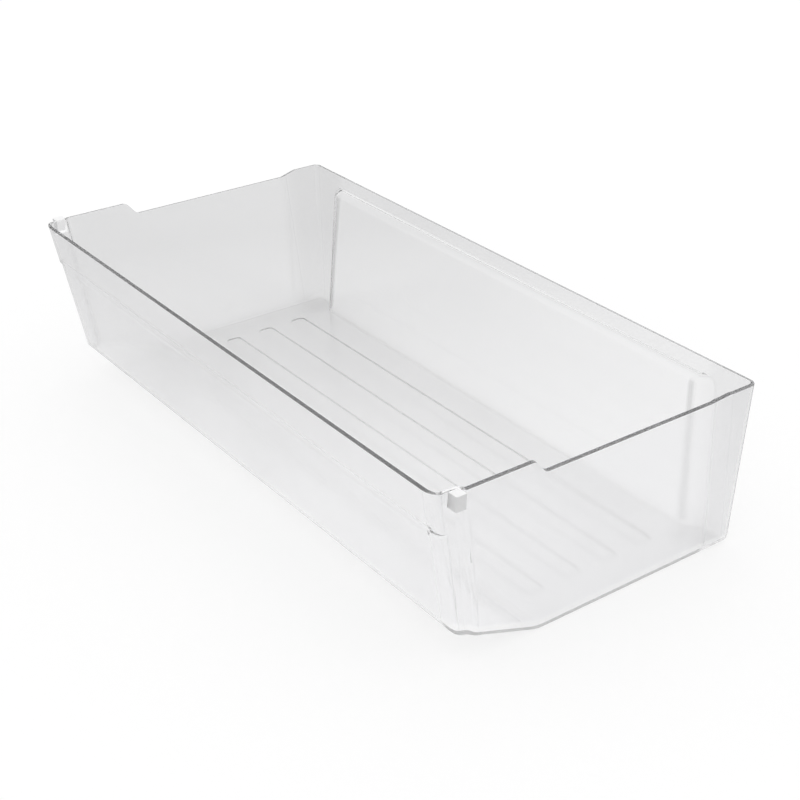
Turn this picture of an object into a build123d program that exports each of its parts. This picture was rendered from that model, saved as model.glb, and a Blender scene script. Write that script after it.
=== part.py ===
from build123d import *
import os
from math import atan2, cos, radians, sin, tan

# A clear moulded freezer drawer: width along X, front towards -Y, floor on Z = 0.

# Driving dimensions, in millimetres and degrees
rim_width = 393.0
rim_depth = 200.0
wall = 2.0
front_height = 101.5
side_height = 93.5
back_height = 96.0

# Leans of the walls, from upright, and slope of the bevel under the front
front_lean = 10.2
cheek_lean = 8.6
end_lean = 3.0
back_lean = 0.8
recess_lean = 3.6
bevel_slope = 20.0

# Flat floor, from the front rim back, and the rounds where it turns up
floor_set_back = 66.0
bevel_round = 24.0
front_round = 6.0
foot_round = 4.5

# Bands left standing proud under the front and back rims
front_band = 20.5
front_step = 0.8
front_run = 7.0
front_blend = 18.0
back_band = 10.0
recess_depth = 10.0
recess_margin = 31.5
recess_flare = 11.5
recess_round = 1.2
recess_blend = 3.5

# End panels, which stop short of the back corners along a line that leans forward
panel_step = 1.5
panel_stop = 20.0
panel_flare = 12.0
panel_lean = 5.5

# Front corners: the front wall is narrower than the ends and stands forward of them
corner_step = 3.0
corner_reach = 14.0
corner_round = 4.5
corner_sweep = 9.0
cheek_run = 6.0

# Lugs at the front corners
lug_side = 6.0
lug_out = 2.9
lug_height = 8.0
lug_round = 0.8

# Rim: a raised tab at the front of each end, a low run, a small rise at the back corner, a slope outwards
tab_length = 41.6
tab_run = 6.8
tab_round = 4.5
rise_start = 30.0
rise_run = 11.0
rise_round = 7.0
rim_slope = 12.0

# Raised ribs of the floor
rib_count = 4
rib_pitch = 25.0
rib_width = 13.0
rib_margin = 29.0
rib_height = 1.1
rib_corner = 4.5
rib_taper = 60.0
rib_back_edge = 33.3

# Spare stock of the blanks over the rim, and of the cutters over the blanks
blank_spare = 22.0
cutter_spare = 120.0

# Planes and lines that follow from the sizes
front_y = -rim_depth / 2
back_y = rim_depth / 2
end_x = rim_width / 2
floor_front_y = front_y + floor_set_back
stepped_y = front_y + front_step
cheek_y = front_y + corner_reach
top = front_height + blank_spare
cutter_top = top + cutter_spare
reach = rim_width + rim_depth
front_ledge = front_height - front_band
back_ledge = back_height - back_band
tab_back_y = cheek_y + tab_length
rise_y = back_y - rise_start


def leaned(at_rim, rim_z, lean, z):
    """Place of a leaning wall at height z, from its place and height at the rim."""
    return at_rim - (rim_z - z) * tan(radians(lean))


def bar(plane, outline, grow=0.0):
    """Long bar across a plane, with its outline grown outwards by a distance."""
    face = make_face(outline)
    if grow:
        face = offset(face, amount=grow, kind=Kind.INTERSECTION)
    return extrude(plane * face, amount=reach, both=True)


def both_ends(solid):
    """A solid and its mirror image at the other end of the drawer."""
    return [solid, mirror(solid, about=Plane.YZ)]


def envelope(inset):
    """Plain tub: its side outline along X crossed with its front outline along Y."""
    slope = tan(radians(bevel_slope))
    lean = tan(radians(front_lean))
    foot_y = (stepped_y + lean * (front_height - slope * floor_front_y)) / (1 - slope * lean)
    foot_z = (floor_front_y - foot_y) * slope
    step_z = front_ledge - front_run
    side = FilletPolyline(
        (floor_front_y, 0),
        (leaned(back_y, back_height, back_lean, 0), 0),
        (leaned(back_y, back_height, back_lean, top), top),
        (-leaned(-front_y, front_height, front_lean, top), top),
        (-leaned(-front_y, front_height, front_lean, front_ledge), front_ledge),
        (-leaned(-stepped_y, front_height, front_lean, step_z), step_z),
        (foot_y, foot_z),
        radius=[bevel_round, foot_round, 0, 0, front_blend, front_blend, front_round],
        close=True,
    )
    low_x = leaned(end_x, back_height, end_lean, -wall)
    high_x = leaned(end_x, back_height, end_lean, cutter_top)
    low = [(-low_x, -wall), (low_x, -wall)]
    high = [(high_x, cutter_top), (-high_x, cutter_top)]
    front = Polyline(*low, *high, close=True)
    solid = bar(Plane.YZ, side, -inset) & bar(Plane.XZ, front, -inset)
    ends = solid.faces().sort_by(Axis.X)
    rims = ends[0].edges() + ends[-1].edges()
    return fillet(rims.sort_by(Axis.Z)[:-2], foot_round - inset)


def back_recess(grow):
    """Wide shallow recess in the back wall, under the band at its rim."""
    inner_y = leaned(back_y, back_height, back_lean, 0) - recess_depth
    outer_y = back_y + recess_depth
    half = end_x - recess_margin
    spread = recess_flare / recess_depth * (outer_y - inner_y)
    inner = [(-half, inner_y), (half, inner_y)]
    outer = [(half + spread, outer_y), (-half - spread, outer_y)]
    plan = Polyline(*inner, *outer, close=True)
    below = wall * tan(radians(recess_lean))
    face = offset(make_face(plan), amount=grow + below, kind=Kind.INTERSECTION)
    block = extrude(Pos(0, 0, -wall) * face, amount=wall + back_ledge + grow, taper=recess_lean)
    block = fillet(block.faces().sort_by(Axis.Z)[-1].edges().sort_by(Axis.Y)[:3], recess_blend + grow)
    uprights = block.faces().sort_by(Axis.Y)[0].edges().sort_by(Axis.X)
    return [fillet([uprights[0], uprights[-1]], recess_round + grow)]


def beyond_end(step, grow):
    """Everything outside a plane that is set in from the right end by a step."""
    low_x = leaned(end_x, back_height, end_lean, -wall) - step
    high_x = leaned(end_x, back_height, end_lean, cutter_top) - step
    far = [(reach, -wall), (reach, cutter_top)]
    outline = Polyline((low_x, -wall), *far, (high_x, cutter_top), close=True)
    return bar(Plane.XZ, outline, grow)


def end_panels(grow):
    """Set-in panels of the two ends, which stop short of the back corners."""
    inner_x = leaned(end_x, back_height, end_lean, 0) - panel_step
    stop_y = back_y - panel_stop
    spread = panel_flare / panel_step * (reach - inner_x)
    before = [(0, stop_y), (0, -reach), (reach, -reach)]
    plan = Polyline(*before, (reach, stop_y + spread), (inner_x, stop_y), close=True)
    face = offset(make_face(plan), amount=grow, kind=Kind.INTERSECTION) if grow else make_face(plan)
    along = Vector(tan(radians(end_lean)), -tan(radians(panel_lean)), 1).normalized()
    stop = extrude(face, amount=reach, dir=along, both=True)
    return both_ends(beyond_end(panel_step, grow) & stop)


def corner_notches(grow):
    """Notches that leave the front wall narrower than the ends, joined to them by a soft double bend."""
    inset = grow / cos(radians(end_lean))
    panel_x = leaned(end_x, back_height, end_lean, front_height) - panel_step
    notch_x = panel_x - corner_step
    turn = 2 * atan2(corner_step, cheek_run)
    start = (notch_x - inset, cheek_y - cheek_run / 2)
    middle = (notch_x + corner_step / 2 - inset * cos(turn), cheek_y + inset * sin(turn))
    stop = (panel_x - inset, cheek_y + cheek_run / 2)
    bends = [TangentArc(start, middle, tangent=(0, 1)), TangentArc(stop, middle, tangent=(0, -1))]
    sides = Polyline(stop, (reach, stop[1]), (reach, -reach), (start[0], -reach), start)
    along = Vector(tan(radians(end_lean)), -tan(radians(cheek_lean)), 1).normalized()
    face = Pos(0, 0, front_height) * make_face([*bends, sides])
    return both_ends(extrude(face, amount=reach, dir=along, both=True))


def corner_round_off(at_y, grow):
    """What a round takes off an upright edge of the front wall, which leans both ways."""
    inset = grow / cos(radians(end_lean))
    edge_x = leaned(end_x, back_height, end_lean, front_height) - panel_step - corner_step - inset
    edge_y = at_y + grow / cos(radians(front_lean))
    long = corner_sweep - grow
    short = corner_round - grow
    spandrel = Rectangle(2 * long, 2 * short) - Pos(-long, short) * Ellipse(long, short)
    along = Vector(-tan(radians(end_lean)), tan(radians(front_lean)), -1).normalized()
    return extrude(Pos(edge_x, edge_y, front_height) * spandrel, amount=reach, dir=along, both=True)


def corner_rounds(grow):
    """Rounds on the upright edges of the front wall, over and under its step."""
    under_step = Pos(0, 0, front_ledge - front_run / 2) * Box(
        reach, reach, reach, align=(Align.CENTER, Align.CENTER, Align.MAX)
    )
    upper = corner_round_off(front_y, grow) - under_step
    lower = corner_round_off(stepped_y, grow) & under_step
    return both_ends(upper) + both_ends(lower)


def form(inset):
    """The tub with its reliefs, set in from the outside by a distance."""
    solid = envelope(inset)
    for reliefs in (back_recess, end_panels, corner_notches, corner_rounds):
        for relief in reliefs(inset):
            solid -= relief
    return solid


def lugs():
    """Square lugs standing in the notches at the front corners, flush with the rim."""
    out_x = leaned(end_x, back_height, end_lean, front_height) - panel_step + lug_out
    long = lug_out + corner_step + wall
    block = Box(long, lug_side, lug_height, align=(Align.MAX, Align.MIN, Align.MAX))
    block = fillet(block.edges().filter_by(Axis.Z).group_by(Axis.X)[-1], lug_round)
    return both_ends(Pos(out_x, cheek_y - lug_side, front_height) * block)


def under_rim():
    """Everything under the rim line, whose top slopes outwards over the walls."""
    slope = tan(radians(rim_slope))
    outline = FilletPolyline(
        (-reach, -reach),
        (reach, -reach),
        (reach, back_height - slope * (reach - back_y + wall)),
        (back_y - wall, back_height),
        (rise_y + rise_run, back_height),
        (rise_y, side_height),
        (tab_back_y + tab_run, side_height),
        (tab_back_y, front_height),
        (front_y + wall, front_height),
        (-reach, front_height - slope * (front_y + wall + reach)),
        radius=[0, 0, 0, 0, rise_round, rise_round, tab_round, tab_round, 0, 0],
        close=True,
    )
    face = Plane.YZ * make_face(outline)
    inner_x = leaned(end_x, back_height, end_lean, side_height) - panel_step - wall
    ends = both_ends(extrude(Pos(inner_x, 0, 0) * face, amount=blank_spare, dir=(1, 0, -slope)))
    return extrude(face, amount=inner_x, both=True) + ends


def ribs(level, inset):
    """Row of long tapered pads that stand on a level, set in from the outline of the ribs."""
    rib_length = rim_width - 2 * rib_margin
    pad = RectangleRounded(rib_length - 2 * inset, rib_width - 2 * inset, rib_corner - inset)
    last_y = back_y - rib_back_edge - rib_width / 2
    rows = [last_y - rib_pitch * row for row in range(rib_count)]
    return [extrude(Pos(0, y, level) * pad, amount=rib_height, taper=rib_taper) for y in rows]


def drawer_bin():
    """The whole moulding: outer form less inner form, cut to the rim, with ribs in the floor."""
    cavity = form(wall)
    for pad in ribs(wall, 0):
        cavity -= pad
    core_inset = wall * (1 - sin(radians(rib_taper))) / cos(radians(rib_taper))
    solid = form(0)
    for core in ribs(0, core_inset):
        solid -= core
    solid = (solid - cavity) & under_rim()
    for lug in lugs():
        solid += lug - cavity
    return solid


os.makedirs("parts", exist_ok=True)
export_step(drawer_bin(), "parts/drawer_bin.step")
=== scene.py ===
import bpy
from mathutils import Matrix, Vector

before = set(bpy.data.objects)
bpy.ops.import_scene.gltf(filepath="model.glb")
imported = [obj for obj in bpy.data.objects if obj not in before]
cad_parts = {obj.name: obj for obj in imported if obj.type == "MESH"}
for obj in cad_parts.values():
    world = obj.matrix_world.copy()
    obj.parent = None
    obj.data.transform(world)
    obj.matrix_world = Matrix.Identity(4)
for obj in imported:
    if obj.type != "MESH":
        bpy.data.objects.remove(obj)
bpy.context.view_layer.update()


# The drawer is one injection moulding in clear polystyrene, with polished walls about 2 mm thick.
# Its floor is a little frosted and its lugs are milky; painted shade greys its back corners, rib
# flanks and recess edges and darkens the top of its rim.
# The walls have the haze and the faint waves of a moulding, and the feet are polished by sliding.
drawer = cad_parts["drawer_bin"]
plastic = bpy.data.materials.new("clear_polystyrene")
plastic.use_nodes = True
plastic_tree = plastic.node_tree
shader = plastic_tree.nodes["Principled BSDF"]
shader.inputs["IOR"].default_value = 1.59


def ramp(value, start, stop, low=0.0, high=1.0, easing="SMOOTHSTEP"):
    """Value that goes from low to high while another one goes from start to stop."""
    node = value.id_data.nodes.new("ShaderNodeMapRange")
    node.interpolation_type = easing
    names = ("From Min", "From Max", "To Min", "To Max")
    for name, number in zip(names, (start, stop, low, high)):
        node.inputs[name].default_value = number
    value.id_data.links.new(value, node.inputs["Value"])
    return node.outputs["Result"]


def opposite(value):
    """One less a value."""
    return ramp(value, 0.0, 1.0, 1.0, 0.0, "LINEAR")


def combine(operation, *values):
    """One value from several, joined in turn by the same operation."""
    result = values[0]
    for value in values[1:]:
        node = value.id_data.nodes.new("ShaderNodeMath")
        node.operation = operation
        value.id_data.links.new(result, node.inputs[0])
        value.id_data.links.new(value, node.inputs[1])
        result = node.outputs["Value"]
    return result


def zone(*edges):
    """Share of a zone: the product of its edges' ramps, from where each begins to where it is full."""
    return combine("MULTIPLY", *[ramp(*edge) for edge in edges])


def tinted(plain, share, tint):
    """Colour that goes from a plain one to a tint by a share."""
    node = share.id_data.nodes.new("ShaderNodeMix")
    node.data_type = "RGBA"
    share.id_data.links.new(share, node.inputs["Factor"])
    if isinstance(plain, tuple):
        node.inputs[6].default_value = plain
    else:
        share.id_data.links.new(plain, node.inputs[6])
    node.inputs[7].default_value = tint
    return node.outputs[2]


def noise(place, scale, detail):
    """Soft noise over a place, with a scale and a number of finer layers."""
    node = place.id_data.nodes.new("ShaderNodeTexNoise")
    node.inputs["Scale"].default_value = scale
    node.inputs["Detail"].default_value = detail
    place.id_data.links.new(place, node.inputs["Vector"])
    return node.outputs["Fac"]


# Distance out from the middle, place from front to back, height, and how far a face looks up
on_drawer = plastic_tree.nodes.new("ShaderNodeTexCoord").outputs["Object"]
axes = plastic_tree.nodes.new("ShaderNodeSeparateXYZ")
plastic_tree.links.new(on_drawer, axes.inputs["Vector"])
from_centre = plastic_tree.nodes.new("ShaderNodeMath")
from_centre.operation = "ABSOLUTE"
plastic_tree.links.new(axes.outputs["X"], from_centre.inputs[0])
out, back, up = from_centre.outputs["Value"], axes.outputs["Y"], axes.outputs["Z"]
surface = plastic_tree.nodes.new("ShaderNodeNewGeometry")
facing = plastic_tree.nodes.new("ShaderNodeSeparateXYZ")
plastic_tree.links.new(surface.outputs["Normal"], facing.inputs["Vector"])
facing_up = facing.outputs["Z"]

# Lugs, milky outside and clear for the light inside them
lug_out = (0.1923, 0.1924)
lug_back = (-0.0861, -0.0862)
lug_up = (0.0929, 0.0931)
lug_clearness = 0.1
lug_block = zone((out, *lug_out), (back, *lug_back), (up, *lug_up))
on_lug = combine("MULTIPLY", lug_block, opposite(surface.outputs["Backfacing"]))
clearness = ramp(on_lug, 0.0, 1.0, 1.0, lug_clearness)
plastic_tree.links.new(clearness, shader.inputs["Transmission Weight"])

# Top of the rim, but for the short run behind each lug, darkened by painted shade
rim_up = (0.088, 0.090)
rim_facing = (0.4, 0.5)
lug_run_out = (0.1865, 0.1885)
lug_run_back = (-0.0835, -0.0850)
behind_lug = zone((out, *lug_run_out), (back, *lug_run_back))
rim_top = zone((up, *rim_up), (facing_up, *rim_facing))
rim_shade_share = combine("MULTIPLY", rim_top, opposite(behind_lug))

# Back corners, greyed by painted shade
corner_out = (0.160, 0.173)
corner_back = (0.066, 0.086)
corner_shade_share = zone((out, *corner_out), (back, *corner_back))
# Upright edges of the recess in the back wall, which lean in as they rise, darkened into lines by
# painted shade
lean_height = (0.0, 0.1)
lean_run = (0.0, 0.0063)
edge_inner = (0.1628, 0.1636)
edge_outer = (0.1672, 0.1664)
edge_back = (0.082, 0.084)
edge_foot = (0.003, 0.006)
edge_top = (0.086, 0.082)
lean = ramp(up, *lean_height, *lean_run, "LINEAR")
upright = combine("ADD", out, lean)
edge_shade_share = zone(
    (upright, *edge_inner), (upright, *edge_outer),
    (back, *edge_back), (up, *edge_foot), (up, *edge_top),
)

# Feet under the ends, along the flat floor and up the bevel under the front
foot_out = (0.176, 0.182)
foot_up = (0.007, 0.005)
foot_facing = (0.0, -0.05)
bevel_back = (-0.034, -0.084)
bevel_up = (0.0, 0.0182)
underside = ramp(back, *bevel_back, *bevel_up, "LINEAR")
over_underside = combine("SUBTRACT", up, underside)
on_foot = zone((out, *foot_out), (over_underside, *foot_up), (facing_up, *foot_facing))
plastic_tree.links.new(on_foot, shader.inputs["Coat Weight"])
shader.inputs["Coat IOR"].default_value = 4.0
shader.inputs["Coat Roughness"].default_value = 0.1

# Field of the ribs, and their sloping flanks, which get painted shade
rib_out = (0.172, 0.170)
rib_front = (-0.0235, -0.0225)
rib_back = (0.070, 0.068)
rib_up = (0.0040, 0.0036)
flank_slope = (0.97, 0.85)
in_ribs = zone((out, *rib_out), (back, *rib_front), (back, *rib_back), (up, *rib_up))
flatness = combine("MULTIPLY", facing_up, facing_up)
flank_shade_share = combine("MULTIPLY", in_ribs, ramp(flatness, *flank_slope))

# Colour: almost clear, with painted shade laid over it: grey in the back corners, on the rib flanks
# and along the recess's upright edges, and dark grey on the top of the rim
clear_tint = (0.99, 0.99, 0.995, 1.0)
painted_corner_shade = (0.93, 0.93, 0.935, 1.0)
painted_flank_shade = (0.94, 0.94, 0.945, 1.0)
painted_edge_shade = (0.8, 0.8, 0.805, 1.0)
painted_rim_shade = (0.28, 0.28, 0.29, 1.0)
colour = tinted(clear_tint, corner_shade_share, painted_corner_shade)
colour = tinted(colour, flank_shade_share, painted_flank_shade)
colour = tinted(colour, edge_shade_share, painted_edge_shade)
colour = tinted(colour, rim_shade_share, painted_rim_shade)
plastic_tree.links.new(colour, shader.inputs["Base Color"])

# Roughness: a frosted floor, polished walls, matt lugs, and a haze over them all
wall_roughness = 0.1
floor_roughness = 0.18
floor_up = (0.0035, 0.0065)
lug_roughness = 0.45
haze_scale = 18.0
haze_detail = 2.0
haze_spread = 0.04
frost = ramp(up, *floor_up, floor_roughness, wall_roughness)
frost = combine("MAXIMUM", frost, ramp(on_lug, 0.0, 1.0, 0.0, lug_roughness))
haze = noise(on_drawer, haze_scale, haze_detail)
haze = ramp(haze, 0.0, 1.0, -haze_spread / 2, haze_spread / 2)
plastic_tree.links.new(combine("ADD", frost, haze), shader.inputs["Roughness"])

# The ribs show as soft grooves under a flat floor: their tops shade level and their cores nearly so
core_up = (0.0014, 0.0016)
core_tilt = 0.12
levelling = combine("MULTIPLY", in_ribs, ramp(up, *core_up, 1.0 - core_tilt, 1.0))
tilt = opposite(levelling)
tilts = plastic_tree.nodes.new("ShaderNodeCombineXYZ")
tilts.inputs["Z"].default_value = 1.0
plastic_tree.links.new(tilt, tilts.inputs["X"])
plastic_tree.links.new(tilt, tilts.inputs["Y"])
levelled = plastic_tree.nodes.new("ShaderNodeVectorMath")
levelled.operation = "MULTIPLY"
plastic_tree.links.new(surface.outputs["Normal"], levelled.inputs[0])
plastic_tree.links.new(tilts.outputs["Vector"], levelled.inputs[1])
shaded = plastic_tree.nodes.new("ShaderNodeVectorMath")
shaded.operation = "NORMALIZE"
plastic_tree.links.new(levelled.outputs["Vector"], shaded.inputs[0])

# Faint waves of the moulding, over the shaded ribs
wave_scale = 14.0
wave_strength = 0.03
wave_height = 0.002
ripple = plastic_tree.nodes.new("ShaderNodeBump")
ripple.inputs["Strength"].default_value = wave_strength
ripple.inputs["Distance"].default_value = wave_height
plastic_tree.links.new(noise(on_drawer, wave_scale, 0.0), ripple.inputs["Height"])
plastic_tree.links.new(shaded.outputs["Vector"], ripple.inputs["Normal"])
plastic_tree.links.new(ripple.outputs["Normal"], shader.inputs["Normal"])

drawer.data.materials[0] = plastic


# The sweep is a sheet of white paper under the drawer, which runs on as a white background.
# Its own light is seen directly and in the plastic, where it falls off away from the near corner.
sheet_half = 4.0
sheet_drop = 0.0002
corners = [(-1, -1), (1, -1), (1, 1), (-1, 1)]
points = [(x * sheet_half, y * sheet_half, -sheet_drop) for x, y in corners]
sheet_mesh = bpy.data.meshes.new("sweep")
sheet_mesh.from_pydata(points, [], [(0, 1, 2, 3)])
sheet = bpy.data.objects.new("sweep", sheet_mesh)
bpy.context.scene.collection.objects.link(sheet)

paper_colour = (0.26, 0.26, 0.26, 1.0)
glow_colour = (0.75, 0.75, 0.75, 1.0)
pool_middle = (0.15, -0.05, 0.0)
pool_reach = (0.12, 0.50)
pool_edge = 0.66
paper = bpy.data.materials.new("white_paper")
paper.use_nodes = True
paper_tree = paper.node_tree
paper_tree.nodes.clear()
diffuse = paper_tree.nodes.new("ShaderNodeBsdfDiffuse")
diffuse.inputs["Color"].default_value = paper_colour
on_paper = paper_tree.nodes.new("ShaderNodeTexCoord").outputs["Object"]
away = paper_tree.nodes.new("ShaderNodeVectorMath")
away.operation = "DISTANCE"
away.inputs[1].default_value = pool_middle
paper_tree.links.new(on_paper, away.inputs[0])
pool = ramp(away.outputs["Value"], *pool_reach, 1.0, pool_edge, "LINEAR")
rays = paper_tree.nodes.new("ShaderNodeLightPath").outputs
in_plastic = combine("MAXIMUM", rays["Is Glossy Ray"], rays["Is Transmission Ray"])
seen = combine("MAXIMUM", combine("MULTIPLY", in_plastic, pool), rays["Is Camera Ray"])
glow = paper_tree.nodes.new("ShaderNodeEmission")
glow.inputs["Color"].default_value = glow_colour
paper_tree.links.new(seen, glow.inputs["Strength"])
both = paper_tree.nodes.new("ShaderNodeAddShader")
paper_tree.links.new(diffuse.outputs["BSDF"], both.inputs[0])
paper_tree.links.new(glow.outputs["Emission"], both.inputs[1])
paper_output = paper_tree.nodes.new("ShaderNodeOutputMaterial")
paper_tree.links.new(both.outputs["Shader"], paper_output.inputs["Surface"])
sheet_mesh.materials.append(paper)


# The studio is one even white light all round, as in a light tent.
# Light may turn often inside the plastic, so that its edges don't go black.
light_turns = 64
world = bpy.data.worlds.new("studio")
bpy.context.scene.world = world
world.use_nodes = True
tent = world.node_tree.nodes["Background"]
tent.inputs["Color"].default_value = (1.0, 1.0, 1.0, 1.0)
tent.inputs["Strength"].default_value = 1.0
cycles = bpy.context.scene.cycles
cycles.max_bounces = light_turns
cycles.transmission_bounces = light_turns
cycles.glossy_bounces = light_turns


# The camera stands to the right of the front, a little above the drawer.
# It looks down at the near corner, with the long front wall towards it.
camera = bpy.data.cameras.new("camera")
camera.lens = 69.9
camera.sensor_width = 36.0
camera.clip_start = 0.01
camera.clip_end = 50.0
viewer = bpy.data.objects.new("camera", camera)
viewer.location = (0.6370, -0.4469, 0.4565)
aim = Vector((0.0160, 0.0127, 0.0354))
viewer.rotation_euler = (aim - viewer.location).to_track_quat("-Z", "Y").to_euler()
bpy.context.scene.collection.objects.link(viewer)
bpy.context.scene.camera = viewer
bpy.context.scene.view_settings.view_transform = "Standard"
